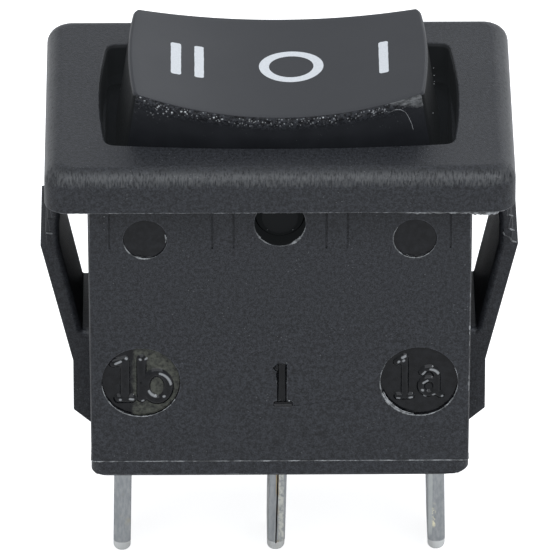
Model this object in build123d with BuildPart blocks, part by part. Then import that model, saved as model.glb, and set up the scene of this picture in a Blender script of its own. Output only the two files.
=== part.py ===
from build123d import *
from math import cos, radians, sin, tan
import os

# Three-position rocker switch, one pole, centre off, that snaps into a panel.
# Millimetres. The origin is the middle of the bezel's underside, which seats on
# the panel. X runs along the rocker, Y from the front to the back, Z up.

# bezel and the well that the rocker stands in
bezel_length = 21.0
bezel_width = 15.0
bezel_height = 2.0
bezel_corner = 1.4
bezel_edge = 0.8
well_length = 16.0
well_width = 10.1
well_end_bulge = 0.3
well_side_bulge = 0.4
well_corner = 0.45
well_edge = 0.12

# body, which passes through the panel
body_length = 17.2
body_width = 12.7
body_corner = 0.2
body_draft = 0.3
seam_depth = 13.46
wall = 1.0
end_wall = 0.8
rib_height = 2.6
rib_proud = 0.12
rib_width = 0.85
rib_places = (2.55, 8.1)
rib_foot = 0.01
pin_mark_diameter = 1.93
pin_mark_place = (6.03, -1.97)
pin_mark_depth = 0.12
number_pad_diameter = 3.5
number_pad_place = (6.26, -9.35)
number_pad_depth = 0.2

# snap wings: a sloping blade with a knee, and barbs above it
wing_width = 5.6
wing_foot = (9.35, -12.75)
wing_foot_bottom = -13.41
wing_bend = (9.35, -10.2)
wing_knee = (10.78, -4.18)
knee_ledge = 0.33
wing_crotch = (8.93, -8.63)
wing_inner = 9.9
wing_inner_bend = -3.2
wing_inner_top = 9.7
barb_count = 4
barb_tip = 10.54
barb_pitch = 0.68
barb_step = 0.09
barb_ledge = 0.22

# rocker
rocker_length = 13.1
rocker_width = 9.36
rocker_end_bulge = 0.26
rocker_side_bulge = 0.62
rocker_corner = 0.35
rocker_flare = 8.5
rocker_low = 3.31
rocker_rise = 1.6
rocker_skirt = 0.3
hollow_radius = 22.7
cap_thickness = 1.1
rocker_wall = 0.9
cheek = 1.44
cheek_radius = 1.9
cheek_root = 7.2
cheek_step = 0.6
crown_edge = 0.15

# pivot
pivot = -1.17
pivot_hole_radius = 1.14
trunnion_radius = 1.08
trunnion_end = 5.75
trunnion_chamfer = 0.28

# plunger, its sleeve and its spring
sleeve_radius = 1.9
sleeve_bottom = -4.6
sleeve_bore = 1.1
bore_top = 1.9
plunger_radius = 1.05
plunger_tip = -8.2
plunger_top = -3.4
plunger_bore = 0.72
plunger_floor = -6.4
spring_wire = 0.2
spring_radius = 0.52
spring_turns = 5
spring_facets = 5
end_gap = 0.05

# see-saw contact strip
fulcrum = -8.65
strip_gap = 0.02
strip_thickness = 0.4
strip_width = 3.8
strip_reach = 6.4
strip_crank = ((1.0, 0.0), (2.7, 0.26), (3.7, 0.0))
waist_width = 2.6
waist_length = 1.5
strip_corner = 0.6

# terminals
pitch = 7.1
tab_thickness = 0.8
tab_width = 4.8
tab_tip = -21.05
tab_chamfer = 1.05
tab_hole = 1.4
tab_hole_height = 3.3
side_lean = 0.12
centre_lean = -0.16
fold_gap = 0.07
horn_width = 0.8
horn_top = -7.3
horn_gap = 0.1
edge_slope = 0.35
shoulder = -12.0
foot_top = -10.0
foot_inner = 4.1
foot_width = 3.8
bend_radius = 0.9

# contacts: a rivet through each foot, and a button welded under each arm
contact_place = 5.2
head_radius = 1.0
head_height = 0.33
button_height = 0.28
shank_radius = 0.5
shank_hole = 0.52
upset_radius = 0.75
upset_height = 0.2
upset_gap = 0.1

# base that closes the body
base_depth = 14.27
base_length = 17.06
base_width = 12.56
base_corner = 0.6
base_edge = 0.12
plug_top = -12.3
plug_gap = 0.05
slot_gap = 0.05
boss_length = 2.2
boss_width = 3.2

os.makedirs("parts", exist_ok=True)


def save(piece, name):
    """Label a finished piece and write it under its name."""
    piece.part.label = name
    export_step(piece.part, f"parts/{name}.step")


def barrel(length, width, end_bulge, side_bulge, corner):
    """A rectangle with bowed sides: length and width are taken over the bows."""
    x = length / 2 - end_bulge
    y = width / 2 - side_bulge
    with BuildSketch() as outline:
        with BuildLine():
            ThreePointArc((-x, -y), (0, -width / 2), (x, -y))
            ThreePointArc((x, -y), (length / 2, 0), (x, y))
            ThreePointArc((x, y), (0, width / 2), (-x, y))
            ThreePointArc((-x, y), (-length / 2, 0), (-x, -y))
        make_face()
        fillet(outline.vertices(), corner)
    return outline.sketch


def bow_radius(chord, bulge):
    """Radius of an arc that bows out by bulge over its chord."""
    return ((chord / 2) ** 2 + bulge**2) / (2 * bulge)


def tab_side(x, top, lean, tip_radius):
    """Edge-on outline of a blade at x: straight in the base, leaning below it."""
    half = tab_thickness / 2
    low = x + lean
    with BuildSketch() as outline:
        with BuildLine():
            Polyline(
                (low - half, tab_tip + tip_radius),
                (x - half, -base_depth),
                (x - half, top),
                (x + half, top),
                (x + half, -base_depth),
                (low + half, tab_tip + tip_radius),
            )
            ThreePointArc(
                (low - half, tab_tip + tip_radius),
                (low, tab_tip),
                (low + half, tab_tip + tip_radius),
            )
        make_face()
    return outline.sketch


def tab_face(top):
    """Broad outline of a blade: tip corners cut at 45 degrees, and the hole."""
    half = tab_width / 2
    with BuildSketch() as outline:
        with BuildLine():
            Polyline(
                (-half, top),
                (-half, tab_tip + tab_chamfer),
                (-half + tab_chamfer, tab_tip),
                (half - tab_chamfer, tab_tip),
                (half, tab_tip + tab_chamfer),
                (half, top),
                close=True,
            )
        make_face()
        with Locations((0, tab_tip + tab_hole_height)):
            Circle(tab_hole / 2, mode=Mode.SUBTRACT)
    return outline.sketch


# ---- housing: bezel, body and snap wings in one moulding
with BuildPart() as housing:
    with BuildSketch(Plane.XY):
        RectangleRounded(bezel_length, bezel_width, bezel_corner)
    extrude(amount=bezel_height)
    fillet(housing.faces().sort_by(Axis.Z)[-1].edges(), bezel_edge)

    with BuildSketch(Plane.XY):
        Rectangle(body_length, body_width)
    extrude(amount=-seam_depth, taper=body_draft)
    uprights = housing.edges().filter_by_position(Axis.Z, -seam_depth + wall, -wall)
    fillet(uprights, body_corner)

    # a wing at each end: it springs from the foot, and its barbs point up
    barbs = [wing_knee, (wing_knee[0] - knee_ledge, wing_knee[1])]
    for n in range(barb_count):
        tip_x = barb_tip - n * barb_step
        tip_z = wing_knee[1] + (n + 1) * barb_pitch
        barbs += [(tip_x, tip_z), (tip_x - barb_ledge, tip_z)]
    wing_top = barbs.pop()[1]
    body_half = body_length / 2
    root = body_half - end_wall / 2
    with BuildSketch(Plane.XZ):
        with BuildLine():
            Polyline(
                (wing_inner_top, wing_top),
                (wing_inner, wing_inner_bend),
                (wing_inner, wing_knee[1]),
                wing_crotch,
                (root, wing_crotch[1]),
                (root, wing_foot_bottom),
                (body_half, wing_foot_bottom),
                wing_foot,
                wing_bend,
                *barbs,
                close=True,
            )
        make_face()
    extrude(amount=wing_width / 2, both=True)
    mirror(about=Plane.YZ)

    # crush ribs that fill the panel's cut-out, fading out down the body
    for x in rib_places:
        for side in (-1, 1):
            with BuildSketch(Plane.YZ.offset(side * x)):
                with BuildLine():
                    Polyline(
                        (-body_width / 2 - rib_proud, 0),
                        (-body_width / 2 + wall / 2, 0),
                        (-body_width / 2 + wall / 2, -rib_height),
                        (-body_width / 2 + rib_foot, -rib_height),
                        close=True,
                    )
                make_face()
            extrude(amount=rib_width / 2, both=True)
    mirror(about=Plane.XZ)

    # inside of the body, and the well through the bezel
    with BuildSketch(Plane.XY):
        Rectangle(body_length - 2 * end_wall, body_width - 2 * wall)
    extrude(amount=-seam_depth, mode=Mode.SUBTRACT)
    with BuildSketch(Plane.XY):
        add(barrel(well_length, well_width, well_end_bulge, well_side_bulge, well_corner))
    extrude(amount=bezel_height, mode=Mode.SUBTRACT)
    chamfer(housing.faces().sort_by(Axis.Z)[-1].inner_wires().edges(), well_edge)

    # pivot holes through the front and back walls
    with BuildSketch(Plane.XZ):
        with Locations((0, pivot)):
            Circle(pivot_hole_radius)
    extrude(amount=body_width, both=True, mode=Mode.SUBTRACT)

    # ejector marks on both faces, number pads on the front one
    for side in (-1, 1):
        with BuildSketch(Plane.XZ.offset(side * body_width / 2)):
            for x in (-pin_mark_place[0], pin_mark_place[0]):
                with Locations((x, pin_mark_place[1])):
                    Circle(pin_mark_diameter / 2)
        extrude(amount=-side * pin_mark_depth, mode=Mode.SUBTRACT)
    with BuildSketch(Plane.XZ.offset(body_width / 2)):
        for x in (-number_pad_place[0], number_pad_place[0]):
            with Locations((x, number_pad_place[1])):
                Circle(number_pad_diameter / 2)
    extrude(amount=-number_pad_depth, mode=Mode.SUBTRACT)
save(housing, "housing")

# ---- base: the band under the seam, a plug inside the body, slots and bosses
with BuildPart() as base:
    with BuildSketch(Plane.XY.offset(-base_depth)):
        RectangleRounded(base_length, base_width, base_corner)
    extrude(amount=base_depth - seam_depth)
    chamfer(base.faces().sort_by(Axis.Z)[0].edges(), base_edge)
    with BuildSketch(Plane.XY.offset(-seam_depth)):
        Rectangle(body_length - 2 * (end_wall + plug_gap), body_width - 2 * (wall + plug_gap))
    extrude(amount=plug_top + seam_depth)
    with BuildSketch(Plane.XY.offset(plug_top)):
        for x in (-contact_place, contact_place):
            with Locations((x, 0)):
                Rectangle(boss_length, boss_width)
    extrude(amount=foot_top - tab_thickness - plug_top)
    with BuildSketch(Plane.XY.offset(-base_depth)):
        for x in (-pitch, 0, pitch):
            with Locations((x, 0)):
                Rectangle(tab_thickness + 2 * slot_gap, tab_width + 2 * slot_gap)
    extrude(amount=base_depth + plug_top, mode=Mode.SUBTRACT)
    # room over each boss for the rivet's upset end
    for x in (-contact_place, contact_place):
        with BuildSketch(Plane.XY.offset(foot_top - tab_thickness)):
            with Locations((x, 0)):
                Circle(upset_radius + upset_gap)
        extrude(amount=-upset_height - end_gap, mode=Mode.SUBTRACT)
save(base, "base")

# ---- rocker: hollow cap, cheeks, trunnions and the plunger's sleeve in one moulding
with BuildPart() as rocker:
    # bowed front and back, then bowed ends that flare out towards the skirt
    rocker_height = rocker_low + rocker_rise - rocker_skirt
    lean = radians(rocker_flare)
    side_radius = bow_radius(rocker_length - 2 * rocker_end_bulge, rocker_side_bulge)
    end_radius = bow_radius(rocker_width - 2 * rocker_side_bulge, rocker_end_bulge)
    with BuildSketch(Plane.XY.offset(rocker_skirt)):
        with Locations((0, rocker_width / 2 - side_radius)):
            Circle(side_radius)
        with Locations((0, side_radius - rocker_width / 2)):
            Circle(side_radius, mode=Mode.INTERSECT)
    extrude(amount=rocker_height)
    for side in (-1, 1):
        centre = rocker_length / 2 + rocker_height * tan(lean) - end_radius
        with BuildSketch(Plane.XY.offset(rocker_skirt)):
            with Locations((side * centre, 0)):
                Circle(end_radius)
        extrude(
            amount=rocker_height / cos(lean),
            dir=(-side * sin(lean), 0, cos(lean)),
            mode=Mode.INTERSECT,
        )
    # the hollow along the top
    with BuildSketch(Plane.XZ):
        with Locations((0, rocker_low + hollow_radius)):
            Circle(hollow_radius)
    extrude(amount=rocker_width, both=True, mode=Mode.SUBTRACT)
    uprights = rocker.edges().filter_by_position(Axis.Z, rocker_skirt + 1, rocker_low)
    fillet(uprights, rocker_corner)
    crown = rocker.faces().filter_by(GeomType.CYLINDER).sort_by(SortBy.AREA)[-1]
    chamfer(crown.edges(), crown_edge)

    # hollow under the cap
    with BuildSketch(Plane.XY.offset(rocker_skirt)):
        add(
            barrel(
                rocker_length - 2 * rocker_wall,
                rocker_width - 2 * rocker_wall,
                rocker_end_bulge,
                rocker_side_bulge,
                rocker_corner,
            )
        )
    extrude(amount=rocker_low - cap_thickness - rocker_skirt, mode=Mode.SUBTRACT)

    # a cheek with its trunnion at the front and at the back
    cheek_inside = rocker_width / 2 - 2 * rocker_wall
    for side in (-1, 1):
        with BuildSketch(Plane.XZ.offset(side * cheek_inside)):
            with Locations((0, pivot)):
                Circle(cheek_radius)
            with Locations((0, rocker_skirt + cheek_step / 2)):
                Rectangle(cheek_root, cheek_step)
            make_hull()
        extrude(amount=side * cheek)
        with BuildSketch(Plane.XZ.offset(side * cheek_inside)):
            with Locations((0, pivot)):
                Circle(trunnion_radius)
        extrude(amount=side * (trunnion_end - cheek_inside))
    ends = rocker.faces().sort_by(Axis.Y)
    chamfer(ends[0].edges() + ends[-1].edges(), trunnion_chamfer)

    # sleeve
    with BuildSketch(Plane.XY.offset(sleeve_bottom)):
        Circle(sleeve_radius)
    extrude(amount=rocker_low - cap_thickness - sleeve_bottom)
    with BuildSketch(Plane.XY.offset(sleeve_bottom)):
        Circle(sleeve_bore)
    extrude(amount=bore_top - sleeve_bottom, mode=Mode.SUBTRACT)
save(rocker, "rocker")

# ---- plunger: round-nosed pin, bored from the top for its spring
with BuildPart() as plunger:
    with BuildSketch(Plane.XZ):
        with BuildLine():
            nose = CenterArc((0, plunger_tip + plunger_radius), plunger_radius, -90, 90)
            Polyline(
                nose @ 1,
                (plunger_radius, plunger_top),
                (plunger_bore, plunger_top),
                (plunger_bore, plunger_floor),
                (0, plunger_floor),
                nose @ 0,
            )
        make_face()
    revolve(axis=Axis.Z)
save(plunger, "plunger")

# ---- plunger spring
with BuildPart() as plunger_spring:
    spring_low = plunger_floor + end_gap + spring_wire / 2
    spring_length = bore_top - end_gap - spring_wire / 2 - spring_low
    with BuildLine() as coil:
        Helix(spring_length / spring_turns, spring_length, spring_radius, (0, 0, spring_low))
    with BuildSketch(Plane(origin=coil.line @ 0, z_dir=coil.line % 0)):
        RegularPolygon(spring_wire / 2, spring_facets)
    sweep(is_frenet=True)
save(plunger_spring, "plunger_spring")

# ---- see-saw strip: cranked arms, a waist that drops between the horns
with BuildPart() as contact_strip:
    under = fulcrum + strip_gap
    lower = [(0, under)] + [(x, under + z) for x, z in strip_crank] + [(strip_reach, under)]
    upper = [(x, z + strip_thickness) for x, z in reversed(lower)]
    with BuildSketch(Plane.XZ):
        with BuildLine():
            Polyline(*lower, *upper, close=True)
        make_face()
    extrude(amount=strip_width / 2, both=True)
    with BuildSketch(Plane.XY.offset(under - strip_thickness)):
        for y in (-1, 1):
            with Locations((0, y * (waist_width + strip_width) / 4)):
                Rectangle(waist_length, (strip_width - waist_width) / 2)
    extrude(amount=3 * strip_thickness, mode=Mode.SUBTRACT)
    fillet(contact_strip.edges().filter_by(Axis.Z).group_by(Axis.X)[-1], strip_corner)
    mirror(about=Plane.YZ)
save(contact_strip, "contact_strip")

# ---- common terminal: a sheet folded double at the tip, with horns and a coined
# knife edge at the top that carries the strip
with BuildPart() as common_terminal:
    with BuildSketch(Plane.XZ):
        add(tab_side(0, horn_top, centre_lean, tab_thickness / 2))
    extrude(amount=tab_width / 2, both=True)
    with BuildSketch(Plane.YZ):
        add(tab_face(shoulder))
        with BuildLine():
            horn = waist_width / 2 + horn_gap
            Polyline(
                (-horn - horn_width, shoulder),
                (-horn - horn_width, horn_top),
                (-horn, horn_top),
                (-horn, fulcrum),
                (horn, fulcrum),
                (horn, horn_top),
                (horn + horn_width, horn_top),
                (horn + horn_width, shoulder),
                close=True,
            )
        make_face()
    extrude(amount=pitch / 2, both=True, mode=Mode.INTERSECT)
    # the knife edge
    with BuildSketch(Plane.XZ):
        for side in (-1, 1):
            with BuildLine():
                Polyline(
                    (side * fold_gap / 2, fulcrum),
                    (side * tab_thickness, fulcrum),
                    (side * tab_thickness, fulcrum - edge_slope),
                    close=True,
                )
            make_face()
    extrude(amount=horn, both=True, mode=Mode.SUBTRACT)
    # the open fold
    with BuildSketch(Plane.XZ):
        with BuildLine():
            fold_end = tab_tip + tab_thickness
            Polyline(
                (centre_lean - fold_gap / 2, fold_end),
                (centre_lean + fold_gap / 2, fold_end),
                (fold_gap / 2, -base_depth),
                (fold_gap / 2, horn_top),
                (-fold_gap / 2, horn_top),
                (-fold_gap / 2, -base_depth),
                close=True,
            )
        make_face()
    extrude(amount=tab_width, both=True, mode=Mode.SUBTRACT)
save(common_terminal, "common_terminal")

# ---- the two sides: terminal with its foot, fixed contact and moving contact
for name, side in (("left", -1), ("right", 1)):
    with BuildPart() as terminal:
        with BuildSketch(Plane.XZ):
            add(tab_side(side * pitch, foot_top, side * side_lean, tab_thickness / 2))
        extrude(amount=tab_width / 2, both=True)
        with BuildSketch(Plane.YZ):
            add(tab_face(shoulder))
            with Locations((0, (shoulder + foot_top) / 2)):
                Rectangle(foot_width, foot_top - shoulder)
        extrude(amount=side * 2 * pitch, mode=Mode.INTERSECT)
        with BuildSketch(Plane.XY.offset(foot_top)):
            with Locations((side * (foot_inner + pitch) / 2, 0)):
                Rectangle(pitch - foot_inner, foot_width)
            with Locations((side * contact_place, 0)):
                Circle(shank_hole, mode=Mode.SUBTRACT)
        extrude(amount=-tab_thickness)
        outer = terminal.edges().filter_by(Axis.Y).group_by(Axis.Z)[-1].sort_by(Axis.X)
        fillet(outer[0] if side < 0 else outer[-1], bend_radius)
    save(terminal, f"{name}_terminal")

    spot = (side * contact_place, 0)
    with BuildPart() as fixed_contact:
        with BuildSketch(Plane.XY.offset(foot_top)):
            with Locations(spot):
                Circle(head_radius)
        extrude(amount=head_height)
        with BuildSketch(Plane.XY.offset(foot_top)):
            with Locations(spot):
                Circle(shank_radius)
        extrude(amount=-tab_thickness)
        with BuildSketch(Plane.XY.offset(foot_top - tab_thickness)):
            with Locations(spot):
                Circle(upset_radius)
        extrude(amount=-upset_height)
    save(fixed_contact, f"{name}_fixed_contact")

    with BuildPart() as moving_contact:
        with BuildSketch(Plane.XY.offset(fulcrum + strip_gap)):
            with Locations(spot):
                Circle(head_radius)
        extrude(amount=-button_height)
    save(moving_contact, f"{name}_moving_contact")
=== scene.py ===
from math import atan2, copysign, cos, hypot, pi, radians, sin, sqrt, tan

import bmesh
import bpy
from mathutils import Matrix, Vector, noise


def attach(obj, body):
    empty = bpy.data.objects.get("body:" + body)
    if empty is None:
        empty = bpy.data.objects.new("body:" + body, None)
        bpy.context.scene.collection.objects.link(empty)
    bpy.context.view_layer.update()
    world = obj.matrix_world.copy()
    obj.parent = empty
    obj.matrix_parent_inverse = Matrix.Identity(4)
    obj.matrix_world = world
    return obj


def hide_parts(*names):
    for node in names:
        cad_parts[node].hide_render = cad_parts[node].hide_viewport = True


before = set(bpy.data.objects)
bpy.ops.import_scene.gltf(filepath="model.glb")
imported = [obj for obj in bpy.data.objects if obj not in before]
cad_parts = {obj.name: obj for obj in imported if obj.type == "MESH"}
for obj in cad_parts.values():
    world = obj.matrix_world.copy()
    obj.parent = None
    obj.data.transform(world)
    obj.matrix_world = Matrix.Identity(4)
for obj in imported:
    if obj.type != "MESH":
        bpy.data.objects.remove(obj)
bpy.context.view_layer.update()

# Small three-position rocker switch. Shapes are worked out in millimetres and
# written into their meshes in metres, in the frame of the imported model.
mm = 0.001
scene = bpy.context.scene


# node trees

def operator(operation, swapped=False):
    # a method that adds a Math node; swapped for the reflected ones
    def method(self, other=0.0):
        first, second = (other, self) if swapped else (self, other)
        return self.tree.add("ShaderNodeMath", {"operation": operation}, {0: first, 1: second})
    return method


class Wire:
    # one output of a node; arithmetic on it adds Math nodes
    def __init__(self, tree, socket):
        self.tree = tree
        self.socket = socket

    __add__, __radd__ = operator("ADD"), operator("ADD", swapped=True)
    __sub__, __rsub__ = operator("SUBTRACT"), operator("SUBTRACT", swapped=True)
    __mul__, __rmul__ = operator("MULTIPLY"), operator("MULTIPLY", swapped=True)
    __gt__, __lt__, __abs__ = operator("GREATER_THAN"), operator("LESS_THAN"), operator("ABSOLUTE")


class Tree:
    # a node tree, filled through one method
    def __init__(self, nodeTree, owner=None):
        self.nodes = nodeTree.nodes
        self.links = nodeTree.links
        self.owner = owner

    def add(self, kind, settings=None, inputs=None, out=0):
        node = self.nodes.new(kind)
        for key, value in (settings or {}).items():
            setattr(node, key, value)
        for key, value in (inputs or {}).items():
            if isinstance(value, Wire):
                self.links.new(value.socket, node.inputs[key])
            else:
                node.inputs[key].default_value = value
        return Wire(self, node.outputs[out]) if node.outputs else node

    def place(self):
        return self.add("ShaderNodeTexCoord", out="Object")

    def axis(self, name):
        # place along one axis, in millimetres
        split = self.add("ShaderNodeSeparateXYZ", None, {0: self.place()}, out=name)
        return split * (1 / mm)

    def noise(self, perMm, detail=2.0, roughness=0.5, stretch=(1, 1, 1), shift=(0, 0, 0)):
        where = self.add("ShaderNodeMapping", None, {"Vector": self.place(), "Scale": stretch, "Location": shift})
        return self.add("ShaderNodeTexNoise", {"noise_dimensions": "3D"}, {
            "Vector": where, "Scale": perMm / mm, "Detail": detail, "Roughness": roughness})

    def cells(self, perMm, shift=(0, 0, 0)):
        where = self.add("ShaderNodeMapping", None, {"Vector": self.place(), "Location": shift})
        return self.add("ShaderNodeTexVoronoi", None, {"Vector": where, "Scale": perMm / mm}, out="Distance")

    def attribute(self, name):
        return self.add("ShaderNodeAttribute", {"attribute_name": name}, out="Fac")

    def rays(self):
        # seen by the camera, and seen in a reflection or through something
        path = self.add("ShaderNodeLightPath").socket.node
        seen, mirrored, through = (Wire(self, path.outputs["Is %s Ray" % kind])
                                   for kind in ("Camera", "Glossy", "Transmission"))
        return seen, mirrored + through

    def ramp(self, value, low, high):
        return self.add("ShaderNodeMapRange", {"interpolation_type": "SMOOTHSTEP"}, {
            "Value": value, "From Min": low, "From Max": high})

    def mix(self, mask, first, second):
        return self.add("ShaderNodeMix", {"data_type": "RGBA"}, {0: mask, 6: first, 7: second}, out=2)

    def bump(self, height, depth, strength=1.0, under=None):
        inputs = {"Height": height, "Distance": depth * mm, "Strength": strength}
        if under:
            inputs["Normal"] = under
        return self.add("ShaderNodeBump", None, inputs)


def emptyTree(owner):
    owner.use_nodes = True
    owner.node_tree.nodes.clear()
    return Tree(owner.node_tree, owner)


def newFinish(name):
    return emptyTree(bpy.data.materials.new(name))


def shine(tree, colour, rough, normal, more):
    # ends a material with a Principled shader and returns it
    shader = tree.add("ShaderNodeBsdfPrincipled", None, {
        "Base Color": colour, "Roughness": rough, "Normal": normal, **more})
    tree.add("ShaderNodeOutputMaterial", None, {"Surface": shader})
    return tree.owner


def grey(level):
    return (level * 0.97, level, level * 1.02, 1)


def ink(level):
    # black nylon is a little blue
    return (level * 0.9, level * 0.96, level * 1.11, 1)


nylonShine = {"IOR": 1.45, "Specular IOR Level": 0.3}
metalShine = {"Metallic": 1.0}
# the deep black parts reflect little, and a faint painted glow in their emission stands in for the little light that
# reaches them
deepShineAndPaintedGlow = {"IOR": 1.45, "Emission Color": (0.9, 1.0, 1.06, 1), "Emission Strength": 0.0075}


# finishes

def mouldedNylon(name, base=0.0238, sheen=0.42, grain=1.0, rub=0.0, drawnStreaksAndHighlight=False):
    # black nylon out of a spark-eroded tool: fine pits, faint mottling, stray pale flecks
    tree = newFinish(name)
    fine = tree.noise(15, 2, 0.6)
    coarse = tree.noise(6, 4, 0.65)
    cloud = tree.noise(0.35, 2, 0.5, shift=(0.004, 0.001, 0.002))
    fleck = tree.ramp(tree.cells(5), 0.17, 0.07) * (tree.noise(0.8, 1, 0.5, shift=(0.02, 0, 0)) > 0.6)
    pits = fine
    if drawnStreaksAndHighlight:
        # the round along the bezel's top edge is drawn out by the tool, and gets a painted highlight
        drawn = tree.noise(13, 3, 0.64, stretch=(1, 0.26, 0.26))
        level = tree.axis("Z") + (drawn - 0.5) * 0.5
        edge = tree.ramp(level, 1.26, 1.52) * tree.ramp(level, 1.99, 1.84)
        pits = fine + (drawn - fine) * edge
        sheen = sheen + edge * -0.08
    tone = tree.ramp(pits * 0.5 + coarse * 0.5, 0.37, 0.65)
    colour = tree.mix(tone, ink(base * 0.42), ink(base * 1.7))
    if drawnStreaksAndHighlight:
        # painted highlight: lighter drawn streaks on the band
        colour = tree.mix(edge * tree.ramp(drawn, 0.32, 0.68), colour, grey(base * 2.9))
    colour = tree.mix(fleck * 0.45, colour, grey(0.18))
    rough = sheen + (cloud - 0.5) * 0.14 + (pits - 0.5) * 0.3
    if rub:
        # pale patches: partly rubbed wear, partly a painted highlight on the edge rounds
        wearAndGlint = tree.ramp(tree.noise(1.7, 4, 0.7, shift=(0, 0.01, 0)), 0.46, 0.7)
        colour = tree.mix(wearAndGlint * rub, colour, grey(0.15))
    normal = tree.bump(coarse, 0.014 * grain, 0.5)
    normal = tree.bump(pits, 0.02 * grain, 0.8, under=normal)
    return shine(tree, colour, rough, normal, nylonShine)


def burrAndGlintNylon(name):
    # thin nylon at the edges of the mould looks pale where it is drawn out; the same pale finish gives the painted
    # glints and highlights
    tree = newFinish(name)
    patchy = tree.noise(2.2, 3, 0.6)
    colour = tree.mix(tree.ramp(patchy, 0.36, 0.66), grey(0.07), grey(0.34))
    rough = 0.42 + (patchy - 0.5) * 0.2
    return shine(tree, colour, rough, tree.bump(patchy, 0.01, 0.5), nylonShine)


def wellNylon(name):
    # inside of the housing: painted light and shade, dark at the lip and lighter further down, for the light that
    # comes in through the opening
    tree = newFinish(name)
    lump = tree.noise(3, 3, 0.6)
    # painted light: the colour brightens below the lip
    depth = tree.ramp(tree.axis("Z") + (lump - 0.5) * 0.8, 0.9, -1.4)
    colour = tree.mix(depth, ink(0.007), ink(0.05))
    rough = 0.55 + (lump - 0.5) * 0.2
    return shine(tree, colour, rough, tree.bump(lump, 0.01, 0.5), {"Specular IOR Level": 0.15, **deepShineAndPaintedGlow})


def paintedShadeNylon(name):
    # painted shade: near-black matt nylon for the pivot hole, the trunnions and the rocker's ends, which lie in shade
    tree = newFinish(name)
    lump = tree.noise(5, 3, 0.6)
    colour = tree.mix(lump, ink(0.0015), ink(0.00375))
    rough = 0.5 + (lump - 0.5) * 0.3
    return shine(tree, colour, rough, tree.bump(lump, 0.01, 0.5), {"Specular IOR Level": 0.08, **deepShineAndPaintedGlow})


def satinTop(name):
    # the pressed face of the rocker: smoother than the housing
    tree = newFinish(name)
    fine = tree.noise(16, 2, 0.55)
    cloud = tree.noise(0.3, 3, 0.55)
    colour = tree.mix(fine, ink(0.01716), ink(0.03484))
    rough = 0.4 + (cloud - 0.5) * 0.12 + (fine - 0.5) * 0.08
    return shine(tree, colour, rough, tree.bump(fine, 0.002, 0.5), nylonShine)


def glossySide(name, edgeHeight, bend):
    # the rocker's sides: glossy, with painted glints as bright grains in the rougher band under the
    # top edge, a painted shade line just under that edge, smooth lower down, and one dull patch at the right end;
    # the top edge lies at edgeHeight in the middle and bends up along X
    tree = newFinish(name)
    along = tree.axis("X")
    below = (edgeHeight + along * along * bend) - tree.axis("Z")
    lump = tree.noise(6.5, 4, 0.62)
    soft = tree.noise(1.2, 2, 0.5)
    spots = tree.cells(4.4)
    small = tree.cells(8, shift=(0.003, 0, 0))
    near = tree.ramp(below, 0.8, 0.2)
    corner = tree.ramp(along, -4.3, -5.2)
    right = tree.ramp(along, -3.2, -1.6)
    where = tree.noise(1.3, 3, 0.6, shift=(0.013, 0, 0))
    glintBand = tree.ramp(below, 0.56 + corner * 0.5, 0.3) * tree.ramp(below, 0.03, 0.1)
    rest = tree.mix(soft, ink(0.013), ink(0.022))
    colour = tree.mix(near, rest, tree.mix(tree.ramp(lump, 0.38, 0.64), ink(0.008), ink(0.042)))
    # painted shade: a dark line just under the top edge
    colour = tree.mix(tree.ramp(below, 0.06, 0.02) * 0.7, colour, ink(0.004))
    # painted glints: bright grains in the band, and stray ones lower down
    bigGlint = tree.ramp(spots, 0.26, 0.1) * tree.ramp(where, 0.5 - corner * 0.16 - right * 0.08, 0.6)
    littleGlint = tree.ramp(small, 0.3, 0.12) * tree.ramp(where, 0.44 - corner * 0.06 - right * 0.12, 0.56)
    strayGlint = tree.ramp(small, 0.14, 0.06) * (where > 0.58) * 0.35 * tree.ramp(below, 1.6, 1.1)
    colour = tree.mix((bigGlint + littleGlint * 0.6) * glintBand, colour, grey(0.62))
    colour = tree.mix(strayGlint, colour, grey(0.25))
    streak = tree.noise(6, 3, 0.6, stretch=(0.5, 1, 1), shift=(0, 0, 0.007))
    patch = tree.ramp(along - below * 2.2 + (lump - 0.5) * 0.8, 4.6, 4.95) * (tree.axis("Y") < 0)
    colour = tree.mix(patch * 0.9, colour, tree.mix(tree.ramp(streak, 0.35, 0.65), grey(0.05), grey(0.16)))
    rough = 0.24 + tree.ramp(lump, 0.4, 0.7) * near * 0.2 + patch * 0.16
    normal = tree.bump(lump * (0.08 + near * 0.92), 0.045, 0.7)
    normal = tree.bump(spots * near, 0.035, 0.7, under=normal)
    return shine(tree, colour, rough, normal, nylonShine)


def glossyPad(name, base=0.006, olive=0.0):
    # polished bottom of a number pad or an ejector mark; the ridge attribute marks the
    # figures, and the second attribute the pale spots painted on them as glints
    tree = newFinish(name)
    lump = tree.noise(3.2, 4, 0.6)
    ridge, wearAndGlint = tree.attribute("ridge"), tree.attribute("wearAndGlint")
    colour = tree.mix(tree.ramp(lump, 0.35, 0.7), ink(base * 0.8), ink(base * 1.7))
    if olive:
        mottle = tree.noise(5, 4, 0.65)
        side = tree.ramp(tree.axis("X") + (lump - 0.5) * 0.5, -6.72, -6.5)
        flat = tree.ramp(ridge, 0.35, 0.05)
        colour = tree.mix(side * flat * olive * tree.ramp(mottle, 0.2, 0.75), colour, (0.088, 0.092, 0.074, 1))
    # painted glints: pale spots on the figures
    colour = tree.mix(tree.ramp(wearAndGlint, 0.1, 0.75) * 0.85, colour, grey(0.3))
    rough = 0.11 + tree.ramp(lump, 0.4, 0.75) * 0.12
    return shine(tree, colour, rough, tree.bump(lump, 0.01, 0.5), {"IOR": 1.5, "Specular IOR Level": 0.2})


def printedInk(name):
    tree = newFinish(name)
    grain = tree.noise(14, 3, 0.6)
    colour = tree.mix(tree.ramp(grain, 0.3, 0.75), (0.62, 0.645, 0.668, 1), (0.71, 0.735, 0.758, 1))
    rough = 0.5 + (grain - 0.5) * 0.2
    return shine(tree, colour, rough, tree.bump(grain, 0.004, 0.5), {})


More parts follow.
